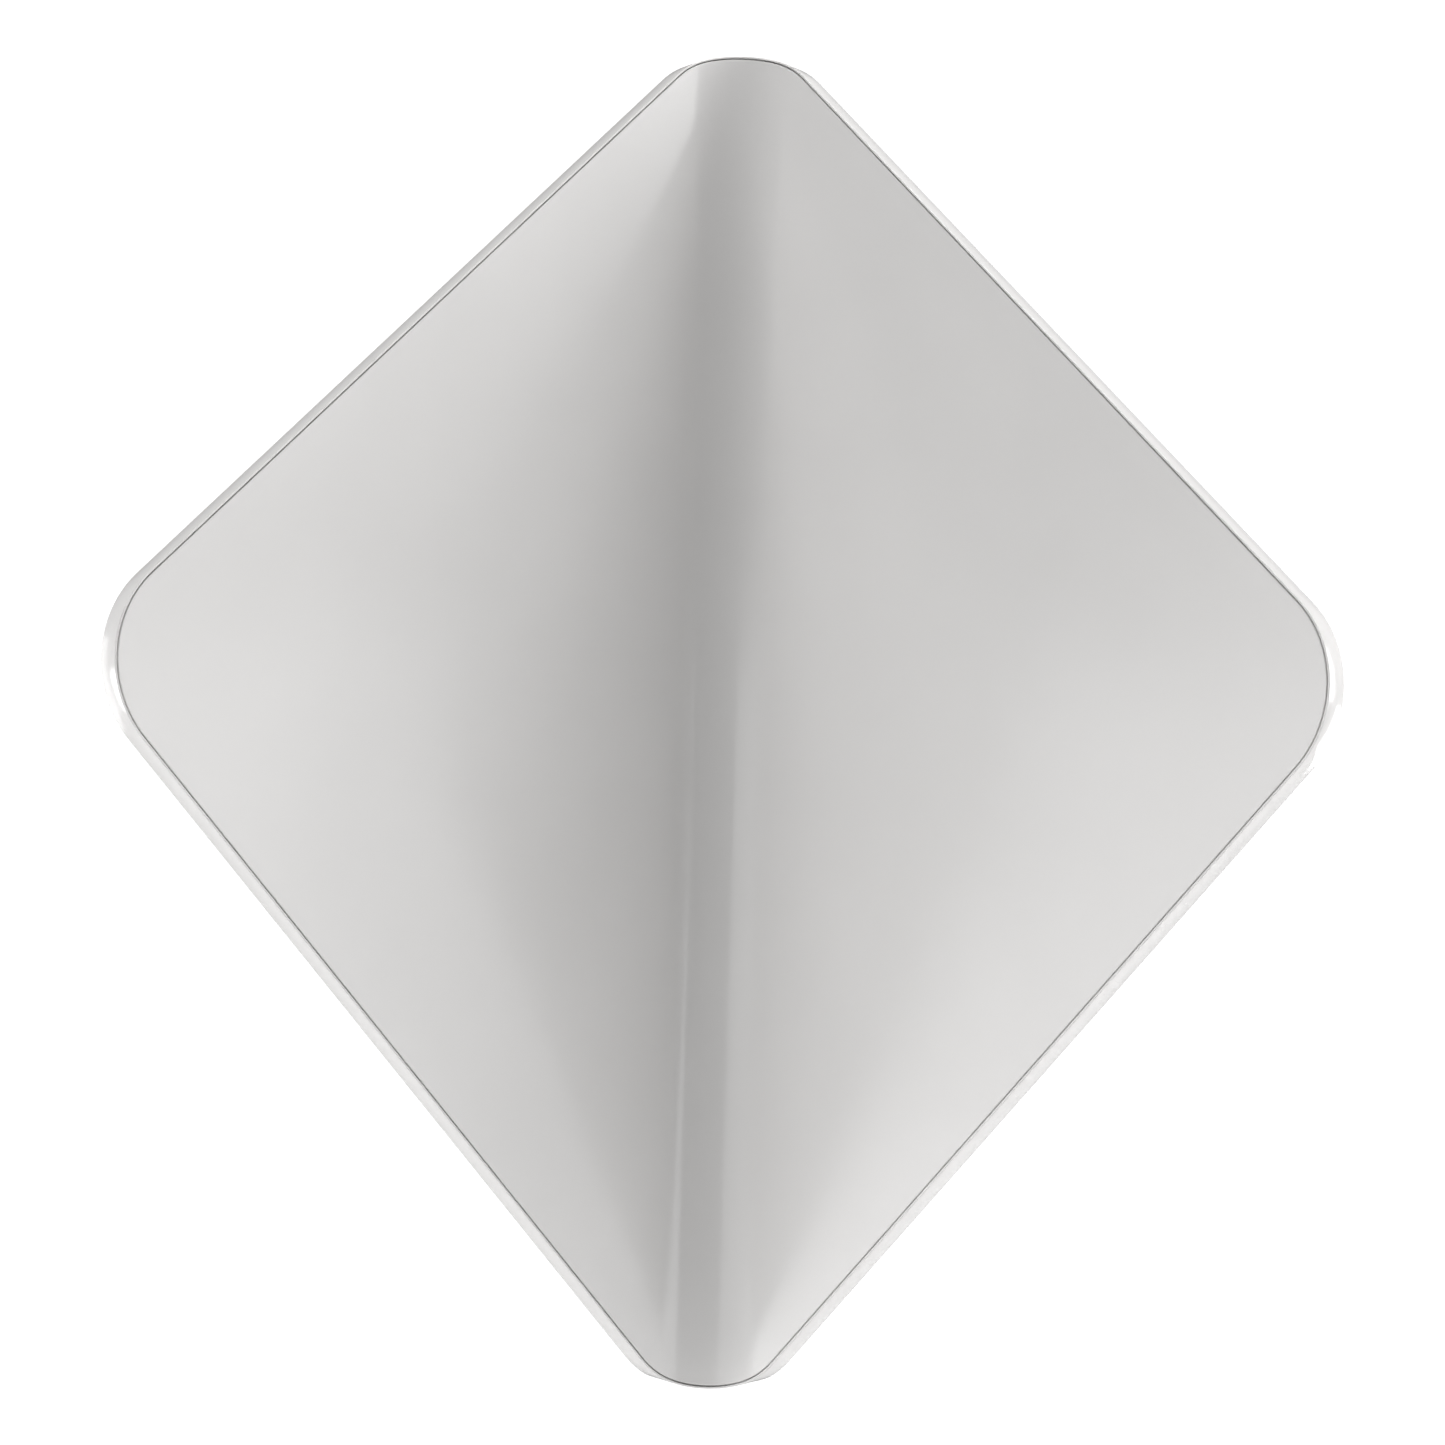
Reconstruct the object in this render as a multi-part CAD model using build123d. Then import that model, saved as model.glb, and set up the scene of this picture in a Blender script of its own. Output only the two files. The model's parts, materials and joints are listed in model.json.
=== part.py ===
from build123d import *
from math import atan2, cos, hypot, radians, sin, sqrt, tan
import os

# A wall light: a square plate with rounded corners, standing on one corner and folded along its
# vertical diagonal. Both wings lean away from the wall. Millimetres, +Z up, the wall is the plane
# y = 0 and the light stands out from it towards -Y. The origin is on the wall plate's back face,
# level with the plate's side corners.

# ---- the folded plate ----
side = 300.0                    # side of the square before it is folded
corner_radius = 31.0            # of the square's four corners
wing_angle = 40.0               # each wing, away from the wall plane, in degrees
fold_radius = 21.0              # inside radius of the valley, on the front face
rim_depth = 7.8                 # depth of the side wall, square to the wing
rim_wall = 2.0                  # thickness of the side wall
rim_lip = 0.5                   # thickness of the side wall's lip round the front shell
shell_wall = 1.4                # thickness of the front shell
shell_edge = 0.2                # radius on the shell's front edge
parting_gap = 0.4               # open joint between the shell and the lip
rebate_play = 0.3               # between the shell's back and the side wall's shoulder
back_wall = 1.4                 # thickness of the rear frame's back
back_border = 22.0              # width of the back's border outside the windows
window_start = 36.0             # distance of a window from the fold line
window_round = 10.0             # radius of a window's corners

# ---- the optical stack in each wing ----
stack_start = 30.0              # distance of the stack's long edge from the fold line
stack_margin = 16.0             # distance of the stack from the rim's outside
stack_round = 4.0               # corner radius of the stack's plates
diffuser_thickness = 1.5
guide_thickness = 2.0
film_thickness = 0.3
plate_thickness = 0.5
pad_trim = 14.0                 # how much smaller the foam pad is than the plate it presses

# ---- light source along the fold ----
board_length = 300.0
board_width = 4.4
board_thickness = 1.0
led_count = 30                  # packages on one board
led_length = 4.0
led_width = 1.6
led_height = 0.7
led_gap = 0.3                   # from the packages to the light guide

# ---- spine behind the fold ----
spine_length = 316.0
spine_thickness = 4.8
lead_hole_radius = 3.4          # of the rear frame's two holes, where the leads go to the back box
lead_reach = 17.0               # distance of those holes from the fold line
lead_slot_width = 3.0           # of the spine's slots, from the led boards to those holes

# ---- bosses and screws that close the plate ----
boss_radius = 3.6
boss_inset = 9.0                # boss axis to the plate's sloping edge
boss_start = 27.0               # end bosses, distance from the fold line
boss_tip = 10.0                 # tip boss, distance from the outermost point
screw_radius = 1.5
screw_head_radius = 2.8
screw_length = 5.0
screw_socket_radius = 1.1
screw_socket_depth = 1.0
thread_clearance = 0.05
boss_floor = 1.0                # solid end of a boss, behind the shell's sheet

# ---- back box ----
fold_standoff = 32.0            # the fold's back from the wall
box_width = 56.0
box_height = 240.0
box_wall = 2.0
box_wall_gap = 0.6              # the box's rim from the wall
plate_gap = 3.0                 # the box's back from the wall plate, room for screw heads
pillar_height = 110.0           # screw pillars, above and below the middle
pillar_radius = 6.0
box_screw_radius = 2.0
box_screw_head_radius = 3.5
box_screw_head = 4.0
box_screw_sink = 5.0            # depth of the head's recess, from the box's back
box_screw_bite = 3.8            # thread length in the spine
box_screw_socket_radius = 1.6
box_screw_socket_depth = 2.0
bore_spare = 0.5                # a tapped hole goes this far past its screw's tip
box_hole_clearance = 0.3

# ---- wall plate and what it carries ----
plate_width = 44.0
plate_height = 190.0
plate_steel = 2.0
plate_round = 4.0
wall_hole_radius = 2.7
wall_hole_across = 30.0
wall_hole_up = 140.0
wall_hole_centre = -10.0        # height of the wall screws' pattern centre
stud_neck_radius = 2.5
stud_head_radius = 4.2
stud_head = 2.0
stud_head_round = 0.7
stud_play = 0.3                 # behind the stud's head
stud_across = 30.0              # spacing of the upper pair
stud_up = 88.0                  # height of the upper pair, and depth of the lower stud
key_play = 0.2                  # keyhole slot round a stud's neck
key_entry_play = 0.8            # keyhole mouth round a stud's head
lift = 10.0                     # travel that frees the studs
cable_hole_radius = 9.0
cable_hole_height = -36.0
grommet_lip = 1.6
grommet_wall = 1.5
grommet_groove_play = 0.05

# ---- electrics ----
driver_length = 86.0
driver_width = 34.0
driver_depth = 19.0
driver_bottom = -16.0
driver_round = 2.0
driver_ear = 7.0
driver_ear_width = 10.8
driver_ear_thickness = 2.0
driver_screw_radius = 1.5
driver_screw_head_radius = 2.7
driver_screw_head = 1.6
driver_screw_round = 0.8
small_slot = 0.7                # width and depth of the slot in driver and terminal screws
block_width = 30.0
block_height = 17.0
block_depth = 16.0
block_centre = -63.0
block_ways = 3
block_edge = 1.0                # chamfer along its long edges
block_tunnel_radius = 1.8       # the wires' tunnels
block_wire_depth = 4.2          # a wire's middle, from the box's back
block_screw_radius = 2.0
block_screw_end = 6.3           # the clamp screw's tip, from the box's back
block_screw_sunk = 3.0          # its head, below the block's front
block_well_play = 0.3           # round the screw
block_well_play_below = 0.3     # under its tip
entry_half_width = 15.0         # cable entry in the box's back
entry_top = -24.0
entry_bottom = -48.0
earth_height = -63.0            # earth screw's height, beside the terminal block
earth_side_play = 0.4           # from its washer to the box's side wall
earth_radius = 2.0
earth_head_radius = 3.9
earth_head = 2.4
earth_head_round = 1.0
earth_slot = 0.9
earth_washer_radius = 4.6
earth_washer_thickness = 0.8
earth_washer_play = 0.2
lead_radius = 0.9
led_lead_bend = 3.0             # largest bend that the lead holes leave room for
mains_lead_bend = 12.0
mains_lead_bow = 5.0            # how far the mains leads step forward on their way up
mains_lead_straight = 0.2       # share of their height before the step
bend_share = 0.45               # most of a run that one bend may take
lead_rise = 4.0                 # run behind the plate before a lead turns to the driver
lead_landing = 3.0              # from the driver's side
lead_drop = 3.5                 # straight run into the driver

# ---- worked out from the above ----
angle = radians(wing_angle)
half_diagonal = side / sqrt(2)
arc_centre = half_diagonal - corner_radius * sqrt(2)       # a corner arc's centre from the middle
core_reach = fold_radius * angle                           # half of the curved strip, laid flat
rim_back = fold_radius + rim_depth                         # depths are radii about the fold axis
back_inner = rim_back - back_wall
shell_back = fold_radius + shell_wall
axis_y = -fold_standoff - rim_back                         # the fold axis, in front of the fold
tip_reach = arc_centre + corner_radius                     # outermost point, laid flat
far = 2 * side                                             # larger than the whole light
box_back = -plate_steel - plate_gap
box_inner = box_back - box_wall
past = 1.0                                                 # how far a cutting shape runs on
slot_length = 10.0                                         # longer than any slotted head is wide
point_tolerance = 1e-6
depth_tolerance = 1e-3

os.makedirs("parts", exist_ok=True)


def both(shape):
    return shape + mirror(shape, about=Plane.YZ)


def save(name, shape):
    export_step(shape, os.path.join("parts", name + ".step"))


def save_pair(name, right_shape):
    save("right_" + name, right_shape)
    save("left_" + name, mirror(right_shape, about=Plane.YZ))


def group(shapes):
    return Compound(children=list(shapes))


# ---- the plate's geometry ----
# A point of the plate is given laid flat: its distance from the fold line and its height, with a
# depth that is its radius about the fold axis.

def flat_outline(inset):
    width = side - 2 * inset
    return Rot(0, 0, 45) * RectangleRounded(width, width, corner_radius - inset)


def outline_height(reach, inset):
    radius = corner_radius - inset
    if reach <= radius / sqrt(2):
        return arc_centre + sqrt(radius ** 2 - reach ** 2)
    return half_diagonal - inset * sqrt(2) - reach


def wing_plane(depth):
    # sketch plane of the right wing: x is the reach from the fold line, y is up, z faces forward
    across, forward = depth * sin(angle), axis_y + depth * cos(angle)
    start = (across - core_reach * cos(angle), forward + core_reach * sin(angle), 0)
    return Plane(origin=start, x_dir=(cos(angle), -sin(angle), 0), z_dir=(-sin(angle), -cos(angle), 0))


def beyond(reach):
    return Pos(reach + far / 2, 0) * Rectangle(far, far)


def triangle(inset, start, rounding):
    # the part of a wing beyond a line along the fold, its two sharp corners rounded
    shape = flat_outline(inset) & beyond(start)
    sharp = [v for v in shape.vertices() if abs(v.X - start) < point_tolerance]
    return fillet(sharp, rounding)


def wing_slab(sketch, front, back):
    return extrude(wing_plane(back) * sketch, back - front)


def core_slab(inset, front, back):
    # the curved strip behind the valley, its ends cut square to the surface along the outline
    sections = []
    steps = 10
    inner, outer = front - past, back + past
    for i in range(steps + 1):
        turn = angle * (2 * i / steps - 1)
        radial = Plane((0, axis_y, 0), x_dir=(sin(turn), cos(turn), 0), z_dir=(cos(turn), -sin(turn), 0))
        height = outline_height(fold_radius * abs(turn), inset)
        sections.append(radial * Pos((inner + outer) / 2, 0) * Rectangle(outer - inner, 2 * height))
    ring = Pos(0, axis_y, 0) * (Cylinder(back, far) - Cylinder(front, far))
    return loft(sections) & ring


def folded_slab(inset, front, back):
    right = wing_slab(flat_outline(inset) & beyond(core_reach), front, back)
    return both(right) + core_slab(inset, front, back)


def depth_of(point):
    # radius about the fold axis, or the same depth on a flat wing
    across, along = abs(point.X), point.Y - axis_y
    if 0 <= atan2(across, along) <= angle:
        return hypot(across, along)
    return across * sin(angle) + along * cos(angle)


def outer_edges(slab, depth):
    found = []
    for edge in slab.edges():
        run = edge.position_at(1) - edge.position_at(0)
        upright = abs(run.X) < point_tolerance and edge.geom_type == GeomType.LINE
        if abs(depth_of(edge.position_at(0.5)) - depth) < depth_tolerance and not upright:
            found.append(edge)
    return found


def boss_places():
    # right wing: two ends, two edge middles and the tip
    edge_line = half_diagonal - boss_inset * sqrt(2)
    middle = edge_line / 2
    ends = edge_line - boss_start
    tip = tip_reach - boss_tip
    return [(boss_start, ends), (boss_start, -ends), (middle, middle), (middle, -middle), (tip, 0)]


def wing_rod(place, radius, front, back):
    return wing_slab(Pos(*place) * Circle(radius), front, back)


# ---- folded plate: shell, frame and spine ----

def make_front_shell():
    shell = folded_slab(rim_lip + parting_gap, fold_radius, shell_back)
    shell = fillet(outer_edges(shell, fold_radius), shell_edge)
    for place in boss_places():
        boss = wing_rod(place, boss_radius, shell_back, back_inner)
        hole = wing_rod(place, screw_radius + thread_clearance, shell_back + boss_floor, back_inner)
        shell += both(boss)
        shell -= both(hole)
    return shell


def window_sketch():
    return triangle(back_border, window_start, window_round)


def make_rear_frame():
    frame = folded_slab(0, fold_radius, rim_back)
    frame -= folded_slab(rim_lip, fold_radius - past, shell_back + rebate_play)
    frame -= folded_slab(rim_wall, fold_radius, back_inner)
    frame -= both(wing_slab(window_sketch(), back_inner - past, rim_back + past))
    for place in boss_places():
        frame -= both(wing_rod(place, screw_radius + box_hole_clearance, back_inner - past, rim_back + past))
        sink = screw_head_radius + box_hole_clearance
        cone = wing_plane(rim_back) * Pos(*place) * cone_frustum(sink, screw_radius, back_wall)
        frame -= both(cone)
    frame -= both(wing_rod((lead_reach, 0), lead_hole_radius, back_inner - past, rim_back + past))
    frame -= box_screw_holes(box_screw_radius + box_hole_clearance)
    return frame


def cone_frustum(wide, narrow, height):
    # stands on the sketch plane and narrows forward
    return Cone(wide, narrow, height, align=(Align.CENTER, Align.CENTER, Align.MIN))


def box_screw_holes(radius):
    holes = []
    for height in (pillar_height, -pillar_height):
        holes.append(Pos(0, -far / 2, height) * Rot(90, 0, 0) * Cylinder(radius, far))
    return group(holes)


def led_front():
    return stack_start - led_gap


def board_face():
    return led_front() - led_height


def board_back():
    return board_face() - board_thickness


def make_spine():
    reach = board_back()
    width = Pos(core_reach + (reach - core_reach) / 2, 0) * Rectangle(reach - core_reach, spine_length)
    front = back_inner - spine_thickness
    ring = Cylinder(back_inner, spine_length) - Cylinder(front, spine_length)
    wedge = extrude(Plane.XY * core_wedge(), spine_length / 2, both=True)
    spine = both(wing_slab(width, front, back_inner)) + (Pos(0, axis_y, 0) * ring & wedge)
    slot_run = reach - lead_reach + past
    slot = Pos(lead_reach + slot_run / 2, 0) * Rectangle(slot_run, lead_slot_width)
    spine -= both(wing_slab(slot, front - past, back_inner + past))
    spine -= both(wing_rod((lead_reach, 0), lead_hole_radius, front - past, back_inner + past))
    for height in (pillar_height, -pillar_height):
        top = axis_y + back_inner
        drill = Pos(0, top, height) * Rot(90, 0, 0)
        hole = Cylinder(box_screw_radius + thread_clearance, 2 * (box_screw_bite + bore_spare))
        spine -= drill * hole
    return spine


def core_wedge():
    # the sector of the curved strip, in plan
    points = [(0, axis_y), (far * sin(angle), axis_y + far * cos(angle)), (0, far * 2)]
    left = [(-x, y) for x, y in points[1:2]]
    return make_face(Polyline(*points, *left, close=True))


# ---- optical stack, from the back forwards ----

def stack_sketch(trim=0.0):
    return triangle(stack_margin + trim, stack_start + trim, stack_round)


def make_stack():
    layers = {}
    back = back_inner
    for name, thickness in (("diffuser", diffuser_thickness), ("light_guide", guide_thickness),
                            ("reflector_sheet", film_thickness), ("backing_plate", plate_thickness)):
        layers[name] = wing_slab(stack_sketch(), back - thickness, back)
        back -= thickness
    layers["foam_pad"] = wing_slab(stack_sketch(pad_trim), shell_back, back)
    return layers


def guide_middle():
    return back_inner - diffuser_thickness - guide_thickness / 2


def make_led_board():
    place = Pos(board_back() + board_thickness / 2, 0) * Rectangle(board_thickness, board_length)
    front = back_inner - board_width
    return wing_slab(place, front, back_inner)


def make_leds():
    pitch = board_length / led_count
    middle = guide_middle()
    leds = []
    for i in range(led_count):
        height = (i + 0.5) * pitch - board_length / 2
        spot = Pos(board_face() + led_height / 2, height) * Rectangle(led_height, led_length)
        leds.append(wing_slab(spot, middle - led_width / 2, middle + led_width / 2))
    return group(leds)


def make_frame_screws():
    screws = []
    for place in boss_places():
        shank = wing_rod(place, screw_radius, rim_back - screw_length, rim_back)
        head = wing_plane(rim_back) * Pos(*place) * cone_frustum(screw_head_radius, screw_radius, back_wall)
        hexagon = Pos(*place) * RegularPolygon(screw_socket_radius, 6)
        screw = shank + head - wing_slab(hexagon, rim_back - screw_socket_depth, rim_back + past)
        screws += [screw, mirror(screw, about=Plane.YZ)]
    return group(screws)


# ---- back box: a tray between the fold and the wall ----

def slab_between(half_width, half_height, front, back):
    depth = back - front
    return Pos(0, (front + back) / 2, 0) * Box(2 * half_width, depth, 2 * half_height)


def ahead_of_plate():
    # everything in front of the folded plate's back
    edge_x, edge_y = rim_back * sin(angle), axis_y + rim_back * cos(angle)
    run_x, run_y = edge_x + far * cos(angle), edge_y - far * sin(angle)
    wings = Polyline((edge_x, edge_y), (run_x, run_y), (run_x, -far), (-run_x, -far),
                     (-run_x, run_y), (-edge_x, edge_y), close=True)
    plan = make_face(wings) + Pos(0, axis_y) * Circle(rim_back)
    return extrude(Plane.XY * plan, far, both=True)


def rod_from_wall(across, height, radius, back, front):
    # a round bar square to the wall
    middle = Pos(across, (back + front) / 2, height) * Rot(90, 0, 0)
    return middle * Cylinder(radius, back - front)


def stud_places():
    return [(-stud_across / 2, stud_up), (stud_across / 2, stud_up), (0, -stud_up)]


def keyhole(across, height):
    slot_radius = stud_neck_radius + key_play
    mouth_radius = stud_head_radius + key_entry_play
    back, front = box_back + past, box_inner - past
    cut = rod_from_wall(across, height, slot_radius, back, front)
    cut += Pos(across, (back + front) / 2, height - lift / 2) * Box(2 * slot_radius, back - front, lift)
    return cut + rod_from_wall(across, height - lift, mouth_radius, back, front)


def make_back_box():
    half_width, half_height = box_width / 2, box_height / 2
    box = slab_between(half_width, half_height, axis_y, -box_wall_gap)
    box -= slab_between(half_width - box_wall, half_height - box_wall, axis_y - past, box_inner)
    box -= slab_between(half_width - box_wall, half_height - box_wall, box_back, past)
    for height in (pillar_height, -pillar_height):
        box += rod_from_wall(0, height, pillar_radius, box_back, axis_y)
    box -= ahead_of_plate()
    box -= box_screw_holes(box_screw_radius + box_hole_clearance)
    for height in (pillar_height, -pillar_height):
        sink = box_screw_head_radius + box_hole_clearance
        box -= rod_from_wall(0, height, sink, box_back + past, box_back - box_screw_sink)
    for across, height in stud_places():
        box -= keyhole(across, height)
    entry_height = entry_top - entry_bottom
    entry = Box(2 * entry_half_width, 2 * (box_wall + past), entry_height)
    box -= Pos(0, box_inner, (entry_top + entry_bottom) / 2) * entry
    back, front = box_back + past, box_inner - past
    for height in driver_screw_heights():
        box -= rod_from_wall(0, height, driver_screw_radius + thread_clearance, back, front)
    return box - rod_from_wall(earth_aside(), earth_height, earth_radius + thread_clearance, back, front)


def make_box_screws():
    screws = []
    seat = box_back - box_screw_sink
    tip = axis_y + back_inner - box_screw_bite
    for height in (pillar_height, -pillar_height):
        head = rod_from_wall(0, height, box_screw_head_radius, seat + box_screw_head, seat)
        shank = rod_from_wall(0, height, box_screw_radius, seat, tip)
        socket = hex_bar(box_screw_socket_radius, box_screw_socket_depth)
        screws.append(head + shank - Pos(0, seat + box_screw_head, height) * Rot(90, 0, 0) * socket)
    return group(screws)


def hex_bar(radius, depth):
    return extrude(RegularPolygon(radius, 6), depth, both=True)


# ---- wall plate ----

def wall_hole_places():
    places = []
    for across in (-wall_hole_across / 2, wall_hole_across / 2):
        for up in (-wall_hole_up / 2, wall_hole_up / 2):
            places.append((across, wall_hole_centre + up))
    return places


def make_wall_plate():
    plate = slab_between(plate_width / 2, plate_height / 2, -plate_steel, 0)
    plate = fillet(plate.edges().filter_by(Axis.Y), plate_round)
    front = -plate_steel - past
    for across, height in wall_hole_places():
        plate -= rod_from_wall(across, height, wall_hole_radius, past, front)
    for across, height in stud_places():
        plate -= rod_from_wall(across, height, stud_neck_radius, past, front)
    return plate - rod_from_wall(0, cable_hole_height, cable_hole_radius, past, front)


def make_hanger_studs():
    studs = []
    under_head = box_inner - stud_play
    for across, height in stud_places():
        neck = rod_from_wall(across, height, stud_neck_radius, 0, under_head)
        head = rod_from_wall(across, height, stud_head_radius, under_head, under_head - stud_head)
        rim = head.edges().filter_by(GeomType.CIRCLE).sort_by(Axis.Y)[0]
        studs.append(neck + fillet(rim, stud_head_round))
    return group(studs)


def make_cable_grommet():
    # an L-shaped ring: a sleeve in the hole and a lip on the plate's front
    sleeve = cable_hole_radius - grommet_groove_play
    inner = sleeve - grommet_wall
    front = -plate_steel
    ring = rod_from_wall(0, cable_hole_height, sleeve, 0, front)
    lip = front - grommet_lip
    ring += rod_from_wall(0, cable_hole_height, cable_hole_radius + grommet_lip, front, lip)
    return ring - rod_from_wall(0, cable_hole_height, inner, past, lip - past)


# ---- driver, terminal block, earth and leads ----

def driver_top():
    return driver_bottom + driver_length


def driver_screw_heights():
    return (driver_bottom - driver_ear / 2, driver_top() + driver_ear / 2)


def make_led_driver():
    middle = (driver_bottom + driver_top()) / 2
    body = Box(driver_width, driver_depth, driver_length)
    body = fillet(body.edges().filter_by(Axis.Z), driver_round)
    driver = Pos(0, box_inner - driver_depth / 2, middle) * body
    ear = Box(driver_ear_width, driver_ear_thickness, driver_length + 2 * driver_ear)
    driver += Pos(0, box_inner - driver_ear_thickness / 2, middle) * ear
    for height in driver_screw_heights():
        hole = driver_screw_radius + box_hole_clearance
        front = box_inner - driver_ear_thickness - past
        driver -= rod_from_wall(0, height, hole, box_inner + past, front)
    return driver


def screw_slot(across, height, front, size):
    # as wide as it is deep, across a head that faces forward
    return Pos(across, front, height) * Box(slot_length, 2 * size, size)


def make_driver_screws():
    screws = []
    seat = box_inner - driver_ear_thickness
    for height in driver_screw_heights():
        head = rod_from_wall(0, height, driver_screw_head_radius, seat, seat - driver_screw_head)
        shank = rod_from_wall(0, height, driver_screw_radius, box_back, seat)
        rim = head.edges().filter_by(GeomType.CIRCLE).sort_by(Axis.Y)[0]
        slot = screw_slot(0, height, seat - driver_screw_head, small_slot)
        screws.append(fillet(rim, driver_screw_round) + shank - slot)
    return group(screws)


def block_way_places():
    pitch = block_width / block_ways
    return [(i - (block_ways - 1) / 2) * pitch for i in range(block_ways)]


def make_terminal_block():
    middle = box_inner - block_depth / 2
    block = Pos(0, middle, block_centre) * Box(block_width, block_depth, block_height)
    block = chamfer(block.edges().filter_by(Axis.X), block_edge)
    well_radius = block_screw_radius + block_well_play
    well_floor = box_inner - block_screw_end + block_well_play_below
    for across in block_way_places():
        # clamp screw's well in the front, wire tunnel from top to bottom
        well = rod_from_wall(across, block_centre, well_radius, well_floor, box_inner - far)
        tunnel = Pos(across, block_wire_y(), block_centre) * Cylinder(block_tunnel_radius, far)
        block -= well + tunnel
    return block


def block_wire_y():
    return box_inner - block_wire_depth


def make_terminal_screws():
    screws = []
    back, front = box_inner - block_screw_end, box_inner - block_depth + block_screw_sunk
    for across in block_way_places():
        screw = rod_from_wall(across, block_centre, block_screw_radius, back, front)
        screws.append(screw - screw_slot(across, block_centre, front, small_slot))
    return group(screws)


def earth_aside():
    return box_width / 2 - box_wall - earth_washer_radius - earth_side_play


def make_earth_washer():
    front = box_inner - earth_washer_thickness
    washer = rod_from_wall(earth_aside(), earth_height, earth_washer_radius, box_inner, front)
    hole_radius = earth_radius + earth_washer_play
    return washer - rod_from_wall(earth_aside(), earth_height, hole_radius, box_inner + past, front - past)


def make_earth_screw():
    seat = box_inner - earth_washer_thickness
    screw = rod_from_wall(earth_aside(), earth_height, earth_radius, box_back, seat)
    head = rod_from_wall(earth_aside(), earth_height, earth_head_radius, seat, seat - earth_head)
    rim = head.edges().filter_by(GeomType.CIRCLE).sort_by(Axis.Y)[0]
    slot = screw_slot(earth_aside(), earth_height, seat - earth_head, earth_slot)
    return screw + fillet(rim, earth_head_round) - slot


def tube(points, radii):
    path = FilletPolyline(*points, radius=radii)
    start = Plane(origin=path @ 0, z_dir=path % 0)
    return sweep(start * Circle(lead_radius), path)


def bend_radii(points, largest):
    # each bend as large as its two runs and the space round it allow
    radii = []
    for before, here, after in zip(points, points[1:], points[2:]):
        first, second = here - before, after - here
        turn = radians(first.get_angle(second))
        radii.append(min(largest, bend_share * min(first.length, second.length) / tan(turn / 2)))
    return radii


def wing_point(reach, depth):
    return wing_plane(depth).from_local_coords(Vector(reach, 0, 0))


def make_led_lead():
    # from the middle of the board's back, along the spine's slot and out through the frame's hole
    middle = back_inner - board_width / 2
    face = box_inner - driver_depth
    landing = driver_width / 2 - lead_landing
    points = [wing_point(board_back(), middle), wing_point(lead_reach, middle),
              wing_point(lead_reach, rim_back + lead_rise),
              Vector(landing, face - lead_drop, 0), Vector(landing, face, 0)]
    return tube(points, bend_radii(points, led_lead_bend))


def make_mains_leads():
    leads = []
    low, high = block_centre + block_height / 2, driver_bottom
    wire, bow = block_wire_y(), block_wire_y() - mains_lead_bow
    step = low + mains_lead_straight * (high - low)
    for across in block_way_places()[:2]:
        points = [Vector(across, wire, low), Vector(across, wire, step),
                  Vector(across, bow, (low + high) / 2), Vector(across, bow, high)]
        leads.append(tube(points, bend_radii(points, mains_lead_bend)))
    return group(leads)


save("front_shell", make_front_shell())
save("rear_frame", make_rear_frame())
save("spine", make_spine())
for layer, solid in make_stack().items():
    save_pair(layer, solid)
save_pair("led_board", make_led_board())
save_pair("leds", make_leds())
save("frame_screws", make_frame_screws())
save("back_box", make_back_box())
save("box_screws", make_box_screws())
save("wall_plate", make_wall_plate())
save("hanger_studs", make_hanger_studs())
save("cable_grommet", make_cable_grommet())
save("led_driver", make_led_driver())
save("driver_screws", make_driver_screws())
save("terminal_block", make_terminal_block())
save("terminal_screws", make_terminal_screws())
save("earth_washer", make_earth_washer())
save("earth_screw", make_earth_screw())
save_pair("led_lead", make_led_lead())
save("mains_leads", make_mains_leads())
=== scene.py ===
import bpy
import bmesh
import json
import math
from mathutils import Matrix, Vector


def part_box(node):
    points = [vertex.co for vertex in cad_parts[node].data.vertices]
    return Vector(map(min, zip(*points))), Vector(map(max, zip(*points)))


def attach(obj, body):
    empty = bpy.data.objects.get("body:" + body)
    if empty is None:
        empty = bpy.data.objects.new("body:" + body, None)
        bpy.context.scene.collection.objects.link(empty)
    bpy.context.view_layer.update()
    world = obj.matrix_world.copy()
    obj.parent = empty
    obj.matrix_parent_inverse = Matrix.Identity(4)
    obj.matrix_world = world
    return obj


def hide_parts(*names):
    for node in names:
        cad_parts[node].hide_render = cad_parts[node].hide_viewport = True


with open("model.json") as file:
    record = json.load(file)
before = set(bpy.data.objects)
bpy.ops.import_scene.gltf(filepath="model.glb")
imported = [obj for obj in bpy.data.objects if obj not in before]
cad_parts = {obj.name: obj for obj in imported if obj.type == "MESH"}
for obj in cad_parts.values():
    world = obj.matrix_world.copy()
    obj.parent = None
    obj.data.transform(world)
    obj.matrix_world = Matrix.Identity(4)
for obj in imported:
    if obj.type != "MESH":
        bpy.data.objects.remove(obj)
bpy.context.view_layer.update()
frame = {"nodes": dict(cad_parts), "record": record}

print("frame loaded,", len(frame["nodes"]), "nodes")

# The folded plate, which the front shell and the rear frame share. A point of it is first
# laid flat: x is the reach from the fold line, z the height, and y the depth, which becomes
# its radius about the fold's axis.
plate = {
    "wingAngle": math.radians(40),   # each wing, away from the wall
    "foldRadius": 0.021,             # inside of the valley
    "cornerRadius": 0.031,
    "lip": 0.0005,                   # of the side wall, round the front shell
    "partingGap": 0.0004,
    "rimDepth": 0.0078,
    "foldStrips": 44,                # how finely the bend is cut
    "cornerSteps": 28,
    "sharpFrom": math.radians(40),   # steeper edges shade as edges
}
rimFront = plate["foldRadius"]
rimBack = rimFront + plate["rimDepth"]
coreReach = rimFront * plate["wingAngle"]                # half of the bent strip, laid flat
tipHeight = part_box("rear_frame")[1].z
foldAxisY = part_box("rear_frame")[1].y - rimBack
halfDiagonal = tipHeight + plate["cornerRadius"] * (math.sqrt(2) - 1)
foldMiddle = Vector((0, foldAxisY + rimFront, 0))
sameDepth = 1e-6         # metres, faces and vertices this near count as level
sameSpot = 1e-7


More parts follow.
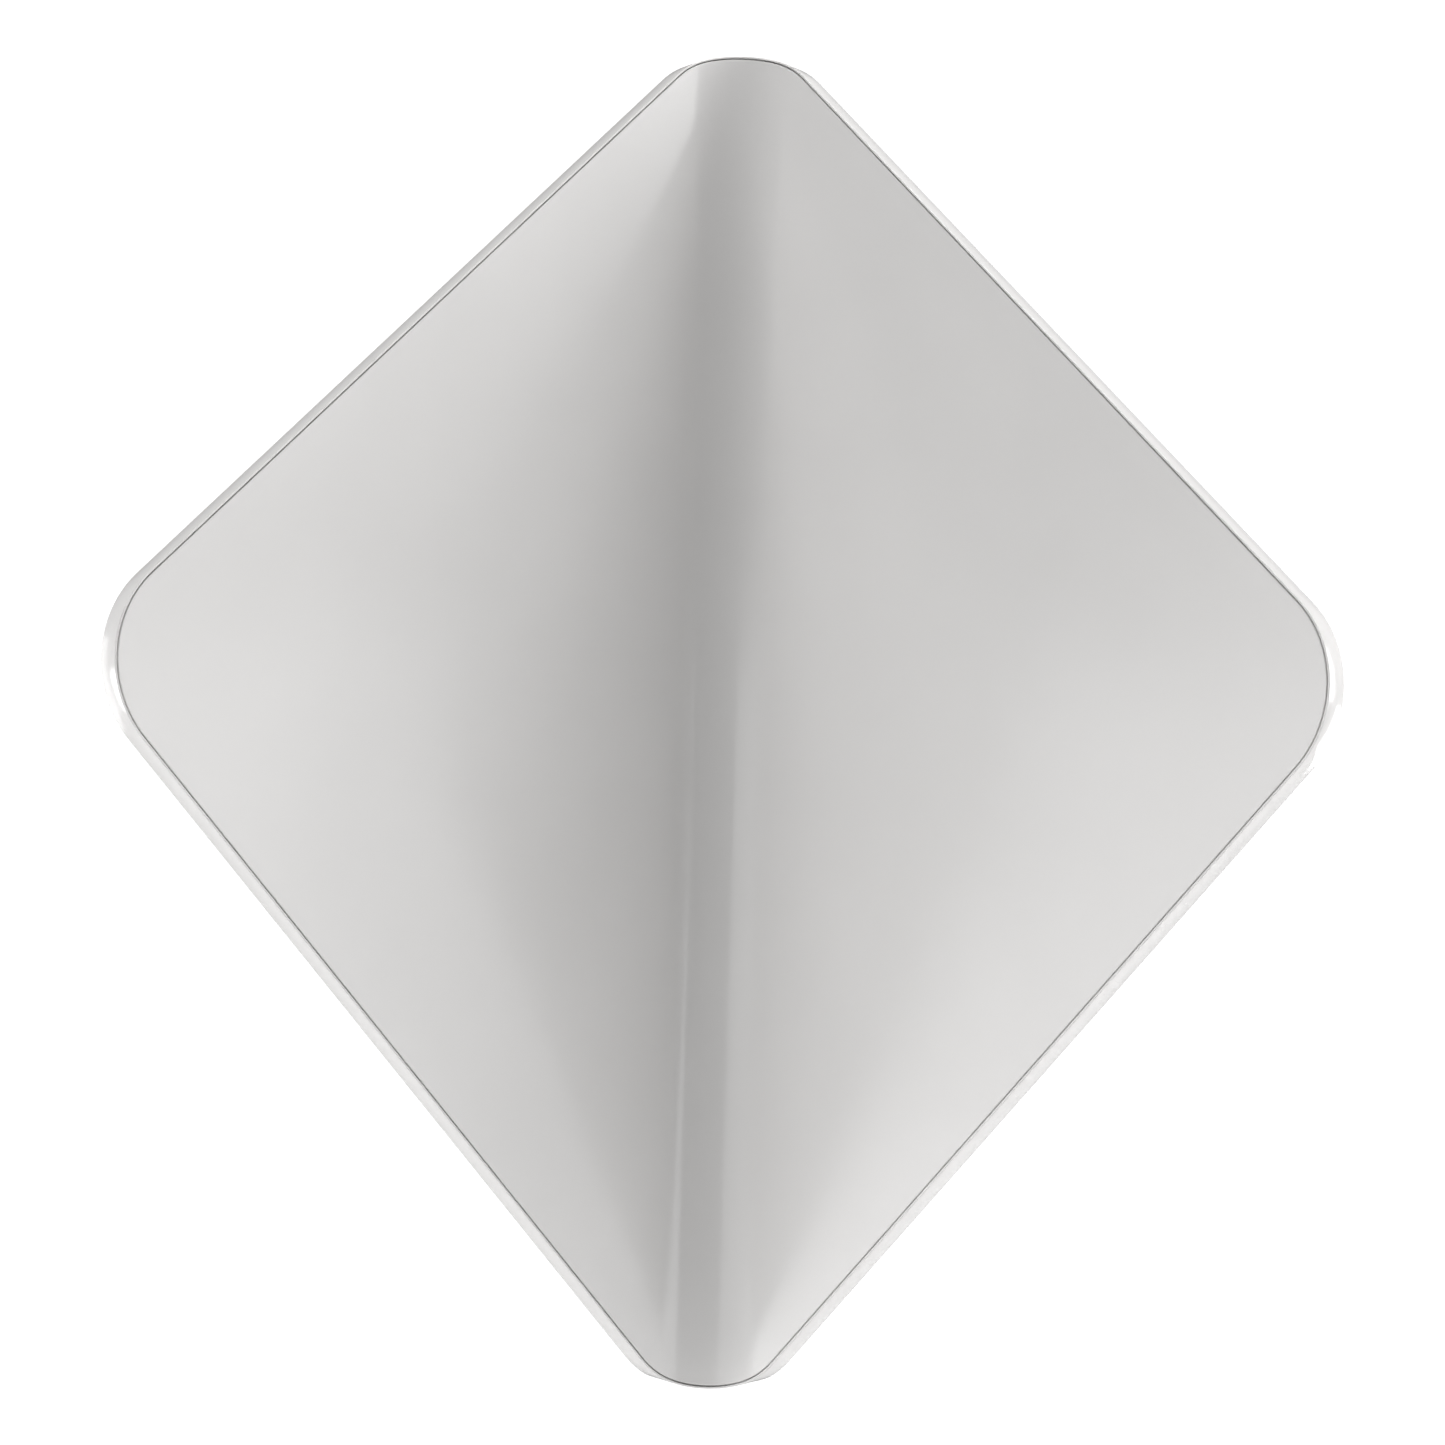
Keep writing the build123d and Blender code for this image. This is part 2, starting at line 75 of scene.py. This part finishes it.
def addObject(name, data):
    thing = bpy.data.objects.new(name, data)
    bpy.context.scene.collection.objects.link(thing)
    return thing


def objectFrom(bm, name):
    mesh = bpy.data.meshes.new(name)
    bm.to_mesh(mesh)
    bm.free()
    return addObject(name, mesh)


def makePiece(name, bm, materialSlot, node, body, sharpFrom):
    piece = objectFrom(bm, name)
    piece.data.shade_smooth()
    piece.data.set_sharp_from_angle(angle=sharpFrom)
    piece.data.materials.append(finishes[materialSlot])
    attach(piece, body)
    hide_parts(node)
    return piece


def allOf(bm):
    return bm.verts[:] + bm.edges[:] + bm.faces[:]


def flatDiamond(inset, depth):
    # a square on its corner with rounded corners, one face at the given depth
    bm = bmesh.new()
    place = Matrix.Translation((0, depth, 0)) @ Matrix.Rotation(math.radians(90), 4, "X")
    bmesh.ops.create_circle(bm, cap_ends=True, segments=4,
                            radius=halfDiagonal - inset * math.sqrt(2), matrix=place)
    bmesh.ops.bevel(bm, geom=bm.verts[:], offset=plate["cornerRadius"] - inset,
                    segments=plate["cornerSteps"], affect="VERTICES", profile=0.5, material=-1)
    return bm


def thicken(bm, faces, distance):
    # extrudes the faces along the depth; the first ones stay where they are
    made = bmesh.ops.extrude_face_region(bm, geom=faces)["geom"]
    moved = [v for v in made if isinstance(v, bmesh.types.BMVert)]
    bmesh.ops.translate(bm, vec=(0, distance, 0), verts=moved)


def facesAtDepth(bm, depth):
    return [f for f in bm.faces if all(abs(v.co.y - depth) < sameDepth for v in f.verts)]


def edgesRound(faces):
    inside = set(faces)
    return [e for f in faces for e in f.edges if sum(g in inside for g in e.link_faces) == 1]


def softenEdges(bm, edges, width, steps):
    bmesh.ops.bevel(bm, geom=list(set(edges)), offset=width, segments=steps,
                    affect="EDGES", profile=0.5, material=-1, clamp_overlap=True)


def sinkInside(bm, border, depth, drop):
    # leaves a border round the face at this depth and sinks what is inside it
    bmesh.ops.inset_region(bm, faces=facesAtDepth(bm, depth), thickness=border)
    floor = max(facesAtDepth(bm, depth), key=lambda f: f.calc_area())
    thicken(bm, [floor], drop)
    bmesh.ops.delete(bm, geom=[floor], context="FACES_ONLY")


def foldPoint(reach, depth, height):
    turn = min(abs(reach) / rimFront, plate["wingAngle"])
    straight = max(abs(reach) - coreReach, 0)
    across = depth * math.sin(turn) + straight * math.cos(turn)
    forward = foldAxisY + depth * math.cos(turn) - straight * math.sin(turn)
    return Vector((math.copysign(across, reach), forward, height))


def foldPlate(bm):
    # cuts strips across the bend, then folds everything about the upright diagonal
    for i in range(plate["foldStrips"] + 1):
        place = coreReach * (2 * i / plate["foldStrips"] - 1)
        bmesh.ops.bisect_plane(bm, geom=allOf(bm), dist=sameSpot,
                               plane_co=(place, 0, 0), plane_no=(1, 0, 0))
    for v in bm.verts:
        v.co = foldPoint(v.co.x, v.co.y, v.co.z)
    bmesh.ops.recalc_face_normals(bm, faces=bm.faces[:])


def cutAway(bm, cutterBm):
    # takes the cutter's closed shapes out of bm
    body, cutter = objectFrom(bm, "uncut"), objectFrom(cutterBm, "cutter")
    cut = body.modifiers.new("cut", "BOOLEAN")
    cut.operation, cut.solver, cut.object = "DIFFERENCE", "EXACT", cutter
    shown = body.evaluated_get(bpy.context.evaluated_depsgraph_get())
    result = bmesh.new()
    result.from_mesh(shown.to_mesh())
    for thing in (body, cutter):
        mesh = thing.data
        bpy.data.objects.remove(thing)
        bpy.data.meshes.remove(mesh)
    return result


# Finishes: a Principled shader each, with its pattern on Object coordinates

finishes = {}


def newFinish(slot, colour, roughness, metallic=0.0):
    made = bpy.data.materials.new(slot)
    made.use_nodes = True
    tree = made.node_tree
    shader = tree.nodes["Principled BSDF"]
    shader.inputs["Base Color"].default_value = (*colour, 1)
    shader.inputs["Roughness"].default_value = roughness
    shader.inputs["Metallic"].default_value = metallic
    finishes[slot] = made
    return tree, shader, tree.nodes.new("ShaderNodeTexCoord").outputs["Object"]


def addNoise(tree, where, scale, detail, stretch=(1, 1, 1)):
    mapping = tree.nodes.new("ShaderNodeMapping")
    mapping.inputs["Scale"].default_value = stretch
    tree.links.new(where, mapping.inputs["Vector"])
    noise = tree.nodes.new("ShaderNodeTexNoise")
    noise.inputs["Scale"].default_value = scale
    noise.inputs["Detail"].default_value = detail
    tree.links.new(mapping.outputs["Vector"], noise.inputs["Vector"])
    return noise.outputs["Fac"]


def addCells(tree, where, scale):
    cells = tree.nodes.new("ShaderNodeTexVoronoi")
    cells.inputs["Scale"].default_value = scale
    tree.links.new(where, cells.inputs["Vector"])
    return cells.outputs["Distance"]


def addRange(tree, value, low, high, upTo=1.0):
    # turns 0 to upTo into low to high
    spread = tree.nodes.new("ShaderNodeMapRange")
    spread.inputs["From Max"].default_value = upTo
    spread.inputs["To Min"].default_value = low
    spread.inputs["To Max"].default_value = high
    tree.links.new(value, spread.inputs["Value"])
    return spread.outputs["Result"]


def tint(tree, shader, value, stops):
    # stops are (place, colour) pairs
    ramp = tree.nodes.new("ShaderNodeValToRGB")
    band = ramp.color_ramp
    while len(band.elements) < len(stops):
        band.elements.new(0.5)
    for element, (place, colour) in zip(band.elements, stops):
        element.position = place
        element.color = (*colour, 1)
    tree.links.new(value, ramp.inputs["Fac"])
    tree.links.new(ramp.outputs["Color"], shader.inputs["Base Color"])


def roughen(tree, shader, value, low, high):
    tree.links.new(addRange(tree, value, low, high), shader.inputs["Roughness"])


def addBump(tree, shader, value, strength, distance):
    # a second bump lies on top of the first
    bump = tree.nodes.new("ShaderNodeBump")
    bump.inputs["Strength"].default_value = strength
    bump.inputs["Distance"].default_value = distance
    tree.links.new(value, bump.inputs["Height"])
    before = shader.inputs["Normal"].links
    if before:
        tree.links.new(before[0].from_socket, bump.inputs["Normal"])
    tree.links.new(bump.outputs["Normal"], shader.inputs["Normal"])


def shade(colour, amount):
    return tuple(min(c * amount, 1) for c in colour)


lacquer = {
    "roughness": 0.14,
    "smoothest": 0.12,
    "roughest": 0.17,
    "cloudScale": 22,
    "patchScale": 60,
    "peelScale": 520,        # orange peel
    "peelStrength": 0.05,
    "peelDepth": 0.0002,
    "nibScale": 34,          # dust nibs
    "nibSize": 0.035,        # share of a cell
    "nibStrength": 0.12,
    "nibDepth": 0.0001,
}


def sprayedLacquer(slot, colour):
    tree, shader, where = newFinish(slot, colour, lacquer["roughness"])
    cloud = addNoise(tree, where, lacquer["cloudScale"], 2)
    tint(tree, shader, cloud, [(0.3, shade(colour, 0.985)), (0.7, shade(colour, 1.01))])
    patches = addNoise(tree, where, lacquer["patchScale"], 2)
    roughen(tree, shader, patches, lacquer["smoothest"], lacquer["roughest"])
    peel = addNoise(tree, where, lacquer["peelScale"], 1)
    addBump(tree, shader, peel, lacquer["peelStrength"], lacquer["peelDepth"])
    nibs = addRange(tree, addCells(tree, where, lacquer["nibScale"]), 1, 0, lacquer["nibSize"])
    addBump(tree, shader, nibs, lacquer["nibStrength"], lacquer["nibDepth"])


powder = {"roughness": 0.48, "smoothest": 0.42, "roughest": 0.55, "patchScale": 90,
          "grainScale": 1500, "grainStrength": 0.25, "grainDepth": 0.0002}


def powderCoat(slot, colour):
    tree, shader, where = newFinish(slot, colour, powder["roughness"])
    grain = addNoise(tree, where, powder["grainScale"], 2)
    tint(tree, shader, grain, [(0.35, shade(colour, 0.95)), (0.65, shade(colour, 1.03))])
    patches = addNoise(tree, where, powder["patchScale"], 3)
    roughen(tree, shader, patches, powder["smoothest"], powder["roughest"])
    addBump(tree, shader, grain, powder["grainStrength"], powder["grainDepth"])


moulding = {"flowScale": 40, "grainScale": 1100, "grainStrength": 0.15, "grainDepth": 0.0002}


def mouldedPlastic(slot, colour, roughness):
    tree, shader, where = newFinish(slot, colour, roughness)
    flow = addNoise(tree, where, moulding["flowScale"], 3)
    tint(tree, shader, flow, [(0.3, shade(colour, 0.96)), (0.7, shade(colour, 1.03))])
    grain = addNoise(tree, where, moulding["grainScale"], 2)
    roughen(tree, shader, grain, roughness - 0.05, roughness + 0.08)
    addBump(tree, shader, grain, moulding["grainStrength"], moulding["grainDepth"])


drawLines = {"strength": 0.1, "depth": 0.0001}


def workedMetal(slot, colour, roughness, stretch, scale):
    # drawn or rolled metal: fine lines run along the axis with the small stretch
    tree, shader, where = newFinish(slot, colour, roughness, metallic=1.0)
    lines = addNoise(tree, where, scale, 4, stretch)
    tint(tree, shader, lines, [(0.3, shade(colour, 0.86)), (0.7, shade(colour, 1.06))])
    roughen(tree, shader, lines, roughness - 0.08, roughness + 0.1)
    addBump(tree, shader, lines, drawLines["strength"], drawLines["depth"])


plating = {
    "roughness": 0.3,
    "smoothest": 0.24,
    "roughest": 0.42,
    "cloudScale": 130,
    "warmCloud": (0.72, 0.71, 0.66),
    "patchScale": 300,
    "grainScale": 900,
    "grainStrength": 0.08,
    "grainDepth": 0.0001,
}


def zincPlate(slot, colour):
    # bright plating with faint cloudy passivation
    tree, shader, where = newFinish(slot, colour, plating["roughness"], metallic=1.0)
    cloud = addNoise(tree, where, plating["cloudScale"], 5)
    tint(tree, shader, cloud,
         [(0.3, shade(colour, 0.85)), (0.55, colour), (0.75, plating["warmCloud"])])
    patches = addNoise(tree, where, plating["patchScale"], 4)
    roughen(tree, shader, patches, plating["smoothest"], plating["roughest"])
    grain = addNoise(tree, where, plating["grainScale"], 3)
    addBump(tree, shader, grain, plating["grainStrength"], plating["grainDepth"])


opal = {
    "roughness": 0.34,
    "smoothest": 0.3,
    "roughest": 0.4,
    "depthWeight": 0.25,     # how much light goes into the sheet
    "depthScale": 0.003,
    "depthReach": (1.0, 0.95, 0.9),
    "hazeScale": 18,
    "satinScale": 2200,
    "satinStrength": 0.06,
    "satinDepth": 0.0001,
}


def opalSheet(slot, colour):
    # cast acrylic with a satin outer face
    tree, shader, where = newFinish(slot, colour, opal["roughness"])
    shader.inputs["Subsurface Weight"].default_value = opal["depthWeight"]
    shader.inputs["Subsurface Scale"].default_value = opal["depthScale"]
    shader.inputs["Subsurface Radius"].default_value = opal["depthReach"]
    haze = addNoise(tree, where, opal["hazeScale"], 3)
    tint(tree, shader, haze, [(0.3, shade(colour, 0.985)), (0.7, shade(colour, 1.005))])
    satin = addNoise(tree, where, opal["satinScale"], 1)
    roughen(tree, shader, satin, opal["smoothest"], opal["roughest"])
    addBump(tree, shader, satin, opal["satinStrength"], opal["satinDepth"])


clear = {"roughness": 0.05, "transmission": 0.9, "ior": 1.49, "dotScale": 700,
         "dotRoughness": 0.3, "sheetRoughness": 0.03}


def clearSheet(slot, colour):
    # a light guide, with fine matt dots that let the light out
    tree, shader, where = newFinish(slot, colour, clear["roughness"])
    shader.inputs["Transmission Weight"].default_value = clear["transmission"]
    shader.inputs["IOR"].default_value = clear["ior"]
    dots = addCells(tree, where, clear["dotScale"])
    roughen(tree, shader, dots, clear["dotRoughness"], clear["sheetRoughness"])


rubber = {"roughness": 0.75, "smoothest": 0.65, "roughest": 0.85, "poreDepth": 0.0003}


def rubberSkin(slot, colour, poreScale, poreStrength):
    tree, shader, where = newFinish(slot, colour, rubber["roughness"])
    pores = addNoise(tree, where, poreScale, 4)
    tint(tree, shader, pores, [(0.35, shade(colour, 0.7)), (0.65, shade(colour, 1.3))])
    roughen(tree, shader, pores, rubber["smoothest"], rubber["roughest"])
    addBump(tree, shader, pores, poreStrength, rubber["poreDepth"])


def makeFinishes():
    sprayedLacquer("white_lacquer", (0.805, 0.795, 0.787))
    powderCoat("box_white", (0.78, 0.78, 0.765))
    opalSheet("opal", (0.90, 0.90, 0.885))
    clearSheet("clear_acrylic", (0.95, 0.98, 0.98))
    mouldedPlastic("white_film", (0.88, 0.88, 0.88), roughness=0.55)
    mouldedPlastic("board_white", (0.84, 0.84, 0.81), roughness=0.4)
    mouldedPlastic("led_phosphor", (0.85, 0.66, 0.16), roughness=0.35)
    mouldedPlastic("driver_plastic", (0.76, 0.76, 0.75), roughness=0.5)
    mouldedPlastic("block_plastic", (0.80, 0.78, 0.70), roughness=0.42)
    mouldedPlastic("lead_sleeve", (0.74, 0.72, 0.66), roughness=0.45)
    workedMetal("bare_aluminium", (0.78, 0.78, 0.79), 0.32, stretch=(1, 1, 0.03), scale=1400)
    workedMetal("thin_aluminium", (0.80, 0.80, 0.81), 0.28, stretch=(1, 1, 0.05), scale=900)
    workedMetal("brass_parts", (0.80, 0.60, 0.28), 0.25, stretch=(1, 0.1, 1), scale=1600)
    zincPlate("zinc_steel", (0.62, 0.63, 0.65))
    rubberSkin("black_rubber", (0.035, 0.035, 0.037), poreScale=700, poreStrength=0.3)
    rubberSkin("foam", (0.09, 0.09, 0.1), poreScale=1800, poreStrength=0.6)


# Front shell: one bent sheet that lies inside the frame's thin lip

frontShell = {
    "wall": 0.0014,
    "edge": 0.0002,
    "edgeSteps": 3,
    "levelRing": 0.0003,     # keeps the flat face's shading flat
}


def makeFrontShell():
    bm = flatDiamond(plate["lip"] + plate["partingGap"], rimFront)
    thicken(bm, bm.faces[:], frontShell["wall"])
    softenEdges(bm, edgesRound(facesAtDepth(bm, rimFront)),
                frontShell["edge"], frontShell["edgeSteps"])
    bmesh.ops.inset_region(bm, faces=facesAtDepth(bm, rimFront), thickness=frontShell["levelRing"])
    foldPlate(bm)
    makePiece("frontShell", bm, "white_lacquer", "front_shell", "lamp", plate["sharpFrom"])


# Rear frame: side wall all round and a back with one window in each wing

rearFrame = {
    "wall": 0.002,
    "backWall": 0.0014,
    "shoulder": 0.0017,       # below the lip's front
    "frontEdge": 0.0002,
    "frontSteps": 3,
    "backEdge": 0.0006,
    "backSteps": 4,
    "border": 0.022,          # outside the windows
    "windowStart": 0.036,     # from the fold line
    "windowRound": 0.0241,    # along each side of the corner
    "windowSteps": 14,
    "bossInset": 0.009,
    "bossStart": 0.027,
    "bossTip": 0.010,
    "sinkRadius": 0.0031,
    "sinkSteps": 40,
    "past": 0.002,            # how far the window cutters stand out on both sides
}


def windowCutter():
    start, past = rearFrame["windowStart"], rearFrame["past"]
    bm = flatDiamond(rearFrame["border"], rimBack + past)
    bmesh.ops.bisect_plane(bm, geom=allOf(bm), clear_inner=True,
                           plane_co=(start, 0, 0), plane_no=(1, 0, 0))
    sharp = [v for v in bm.verts if abs(v.co.x - start) < sameDepth]
    bmesh.ops.bevel(bm, geom=sharp, offset=rearFrame["windowRound"], affect="VERTICES",
                    segments=rearFrame["windowSteps"], profile=0.5, material=-1)
    thicken(bm, bm.faces[:], -rearFrame["backWall"] - 2 * past)
    bmesh.ops.mirror(bm, geom=allOf(bm), axis="X", merge_dist=0)
    return bm


def screwPlaces():
    edgeLine = halfDiagonal - rearFrame["bossInset"] * math.sqrt(2)
    start, middle = rearFrame["bossStart"], edgeLine / 2
    tip = tipHeight - rearFrame["bossTip"]
    right = [(start, edgeLine - start), (start, start - edgeLine),
             (middle, middle), (middle, -middle), (tip, 0)]
    return right + [(-reach, height) for reach, height in right]


def addScrewSink(bm, reach, height):
    place = Matrix.Translation((reach, rimBack, height)) @ Matrix.Rotation(math.radians(-90), 4, "X")
    bmesh.ops.create_cone(bm, cap_ends=True, segments=rearFrame["sinkSteps"],
                          radius1=rearFrame["sinkRadius"] / 2, radius2=rearFrame["sinkRadius"],
                          depth=rearFrame["backWall"] * 2, matrix=place)


def makeRearFrame():
    bm = flatDiamond(0, rimBack)
    thicken(bm, bm.faces[:], -plate["rimDepth"])
    softenEdges(bm, edgesRound(facesAtDepth(bm, rimBack)),
                rearFrame["backEdge"], rearFrame["backSteps"])
    softenEdges(bm, edgesRound(facesAtDepth(bm, rimFront)),
                rearFrame["frontEdge"], rearFrame["frontSteps"])
    sinkInside(bm, plate["lip"] - rearFrame["frontEdge"], rimFront, rearFrame["shoulder"])
    room = plate["rimDepth"] - rearFrame["backWall"] - rearFrame["shoulder"]
    sinkInside(bm, rearFrame["wall"] - plate["lip"], rimFront + rearFrame["shoulder"], room)
    bmesh.ops.recalc_face_normals(bm, faces=bm.faces[:])
    cutters = windowCutter()
    for reach, height in screwPlaces():
        addScrewSink(cutters, reach, height)
    bmesh.ops.recalc_face_normals(cutters, faces=cutters.faces[:])
    bm = cutAway(bm, cutters)
    bmesh.ops.remove_doubles(bm, verts=bm.verts[:], dist=sameSpot)
    foldPlate(bm)
    makePiece("rearFrame", bm, "white_lacquer", "rear_frame", "lamp", plate["sharpFrom"])


# CAD pieces that show from the back or the side, with their edges broken

softCopies = {
    "back_box": {"edge": 0.0006, "steps": 3, "body": "lamp"},
    "wall_plate": {"edge": 0.0002, "steps": 2, "body": "wall_bracket"},
    "led_driver": {"edge": 0.0005, "steps": 2, "body": "lamp"},
    "terminal_block": {"edge": 0.0003, "steps": 2, "body": "lamp"},
    "spine": {"edge": 0.0003, "steps": 2, "body": "lamp"},
}
softLimits = {
    "level": math.radians(0.3),      # flatter than this, faces become one
    "corner": math.radians(40),      # steeper than this, an edge is broken
    "sharpFrom": math.radians(35),
}


def makeSoftCopy(node, edge, steps, body):
    bm = bmesh.new()
    bm.from_mesh(frame["nodes"][node].data)
    bmesh.ops.remove_doubles(bm, verts=bm.verts[:], dist=sameDepth)
    bmesh.ops.dissolve_limit(bm, angle_limit=softLimits["level"],
                             verts=bm.verts[:], edges=bm.edges[:])
    corners = [e for e in bm.edges
               if len(e.link_faces) == 2 and e.calc_face_angle(0) > softLimits["corner"]]
    softenEdges(bm, corners, edge, steps)
    piece = makePiece(node + "Soft", bm, slots[node], node, body, softLimits["sharpFrom"])
    piece.modifiers.new("evenShading", "WEIGHTED_NORMAL").keep_sharp = True


slots = {part["node"]: part["material_slot"] for part in frame["record"]["subparts"]}
makeFinishes()
print("finishes made:", len(finishes))
makeFrontShell()
makeRearFrame()
print("folded plate made")
for node, facts in softCopies.items():
    makeSoftCopy(node, **facts)
for node, thing in frame["nodes"].items():
    thing.data.materials.clear()
    thing.data.materials.append(finishes[slots[node]])
print("housing made, CAD pieces finished")


# Studio: a pale floor well below, soft lights, and the viewer a little below the middle

studio = {
    "floorDrop": 1.1,
    "floorRadius": 3.0,
    "floorSteps": 96,
    "floorTone": 0.82,
    "floorRoughness": 0.8,
    "floorGlow": 0.4,        # seen only, it lights nothing
    "surround": 0.12,        # light that comes from all round
    "backdrop": 1.1,         # beyond the lamp, seen only
    "paleWall": 0.6,         # the same, on the other sides
    "paleUpTo": 0.1,         # Y of a direction, from the pale wall to the backdrop
    "whiteFrom": 0.75,
    "lightDistance": 2,
}
viewer = {
    "azimuth": 0.54,         # degrees, towards +X
    "elevation": -4.98,
    "roll": 1.52,
    "distance": 0.8514,
    "lens": 71.16,
    "sensor": 36,
    "shiftAcross": -0.00145,
    "shiftUp": -0.00927,
}
# azimuth and elevation in degrees, then width and height in metres and power in watts
lights = {
    "lowLeftPanel": (-49, -19, 2.4, 1.95, 20.9),
    "sideLeft": (-92, -15, 0.8, 0.8, 12.8),
    "behindLeft": (-120, -5, 0.8, 1.2, 5.1),
    "highSideLeft": (-48, 45, 1.0, 0.8, 11.9),
    "topRight": (90, 75, 0.8, 0.8, 18.6),
    "highRight": (87, 45, 0.8, 0.8, 14.8),
    "sideRight": (90, 10, 0.8, 1.0, 14.7),
    "lowRightPanel": (68, -15, 1.3, 1.6, 12.2),
    "behindRight": (120, -15, 0.8, 0.8, 15.1),
}


def makeFloor():
    bm = bmesh.new()
    bmesh.ops.create_circle(bm, cap_ends=True, segments=studio["floorSteps"],
                            radius=studio["floorRadius"],
                            matrix=Matrix.Translation((0, 0, -studio["floorDrop"])))
    floor = objectFrom(bm, "floor")
    pale = bpy.data.materials.new("paleFloor")
    pale.use_nodes = True
    tree = pale.node_tree
    shader, path = tree.nodes["Principled BSDF"], tree.nodes.new("ShaderNodeLightPath")
    shader.inputs["Base Color"].default_value = (*[studio["floorTone"]] * 3, 1)
    shader.inputs["Roughness"].default_value = studio["floorRoughness"]
    shader.inputs["Emission Color"].default_value = (1, 1, 1, 1)
    glow = addRange(tree, path.outputs["Is Camera Ray"], 0, studio["floorGlow"])
    tree.links.new(glow, shader.inputs["Emission Strength"])
    floor.data.materials.append(pale)


def makeSurround():
    # one tone lights the lamp, the other is what the camera sees past it
    world = bpy.data.worlds.new("surround")
    world.use_nodes = True
    bpy.context.scene.world = world
    tree = world.node_tree
    tree.nodes.clear()
    glow, seen = tree.nodes.new("ShaderNodeBackground"), tree.nodes.new("ShaderNodeBackground")
    for light in (glow, seen):
        light.inputs["Color"].default_value = (1, 1, 1, 1)
    glow.inputs["Strength"].default_value = studio["surround"]
    way, parts = tree.nodes.new("ShaderNodeTexCoord"), tree.nodes.new("ShaderNodeSeparateXYZ")
    ramp = tree.nodes.new("ShaderNodeMapRange")
    ramp.interpolation_type = "SMOOTHSTEP"
    for socket, fact in (("From Min", "paleUpTo"), ("From Max", "whiteFrom"),
                         ("To Min", "paleWall"), ("To Max", "backdrop")):
        ramp.inputs[socket].default_value = studio[fact]
    tree.links.new(way.outputs["Generated"], parts.inputs["Vector"])
    tree.links.new(parts.outputs["Y"], ramp.inputs["Value"])
    tree.links.new(ramp.outputs["Result"], seen.inputs["Strength"])
    mix, path = tree.nodes.new("ShaderNodeMixShader"), tree.nodes.new("ShaderNodeLightPath")
    tree.links.new(path.outputs["Is Camera Ray"], mix.inputs["Fac"])
    tree.links.new(glow.outputs["Background"], mix.inputs[1])
    tree.links.new(seen.outputs["Background"], mix.inputs[2])
    out = tree.nodes.new("ShaderNodeOutputWorld")
    tree.links.new(mix.outputs["Shader"], out.inputs["Surface"])


def placeFacing(azimuth, elevation, distance, roll=0.0):
    # a place round the middle of the fold, turned to look at it
    a, e = math.radians(azimuth), math.radians(elevation)
    away = Vector((math.sin(a) * math.cos(e), -math.cos(a) * math.cos(e), math.sin(e)))
    right = Vector((0, 0, 1)).cross(away).normalized()
    right = right * math.cos(roll) + away.cross(right) * math.sin(roll)
    turn = Matrix((right, away.cross(right), away)).transposed().to_4x4()
    return Matrix.Translation(foldMiddle + away * distance) @ turn


def makeLight(name, azimuth, elevation, width, height, power):
    panel = bpy.data.lights.new(name, "AREA")
    panel.shape = "RECTANGLE"
    panel.size, panel.size_y = width, height
    panel.energy = power
    thing = addObject(name, panel)
    thing.matrix_world = placeFacing(azimuth, elevation, studio["lightDistance"])
    thing.visible_camera = False


def makeCamera():
    camera = bpy.data.cameras.new("viewer")
    camera.sensor_width = viewer["sensor"]
    camera.lens = viewer["lens"]
    camera.shift_x, camera.shift_y = viewer["shiftAcross"], viewer["shiftUp"]
    camera.clip_start, camera.clip_end = 0.01, 50        # metres
    thing = addObject("viewer", camera)
    thing.matrix_world = placeFacing(viewer["azimuth"], viewer["elevation"],
                                     viewer["distance"], math.radians(viewer["roll"]))
    bpy.context.scene.camera = thing


makeFloor()
makeSurround()
makeCamera()
for name, facts in lights.items():
    makeLight(name, *facts)
bpy.context.scene.view_settings.view_transform = "Standard"
print("studio ready")
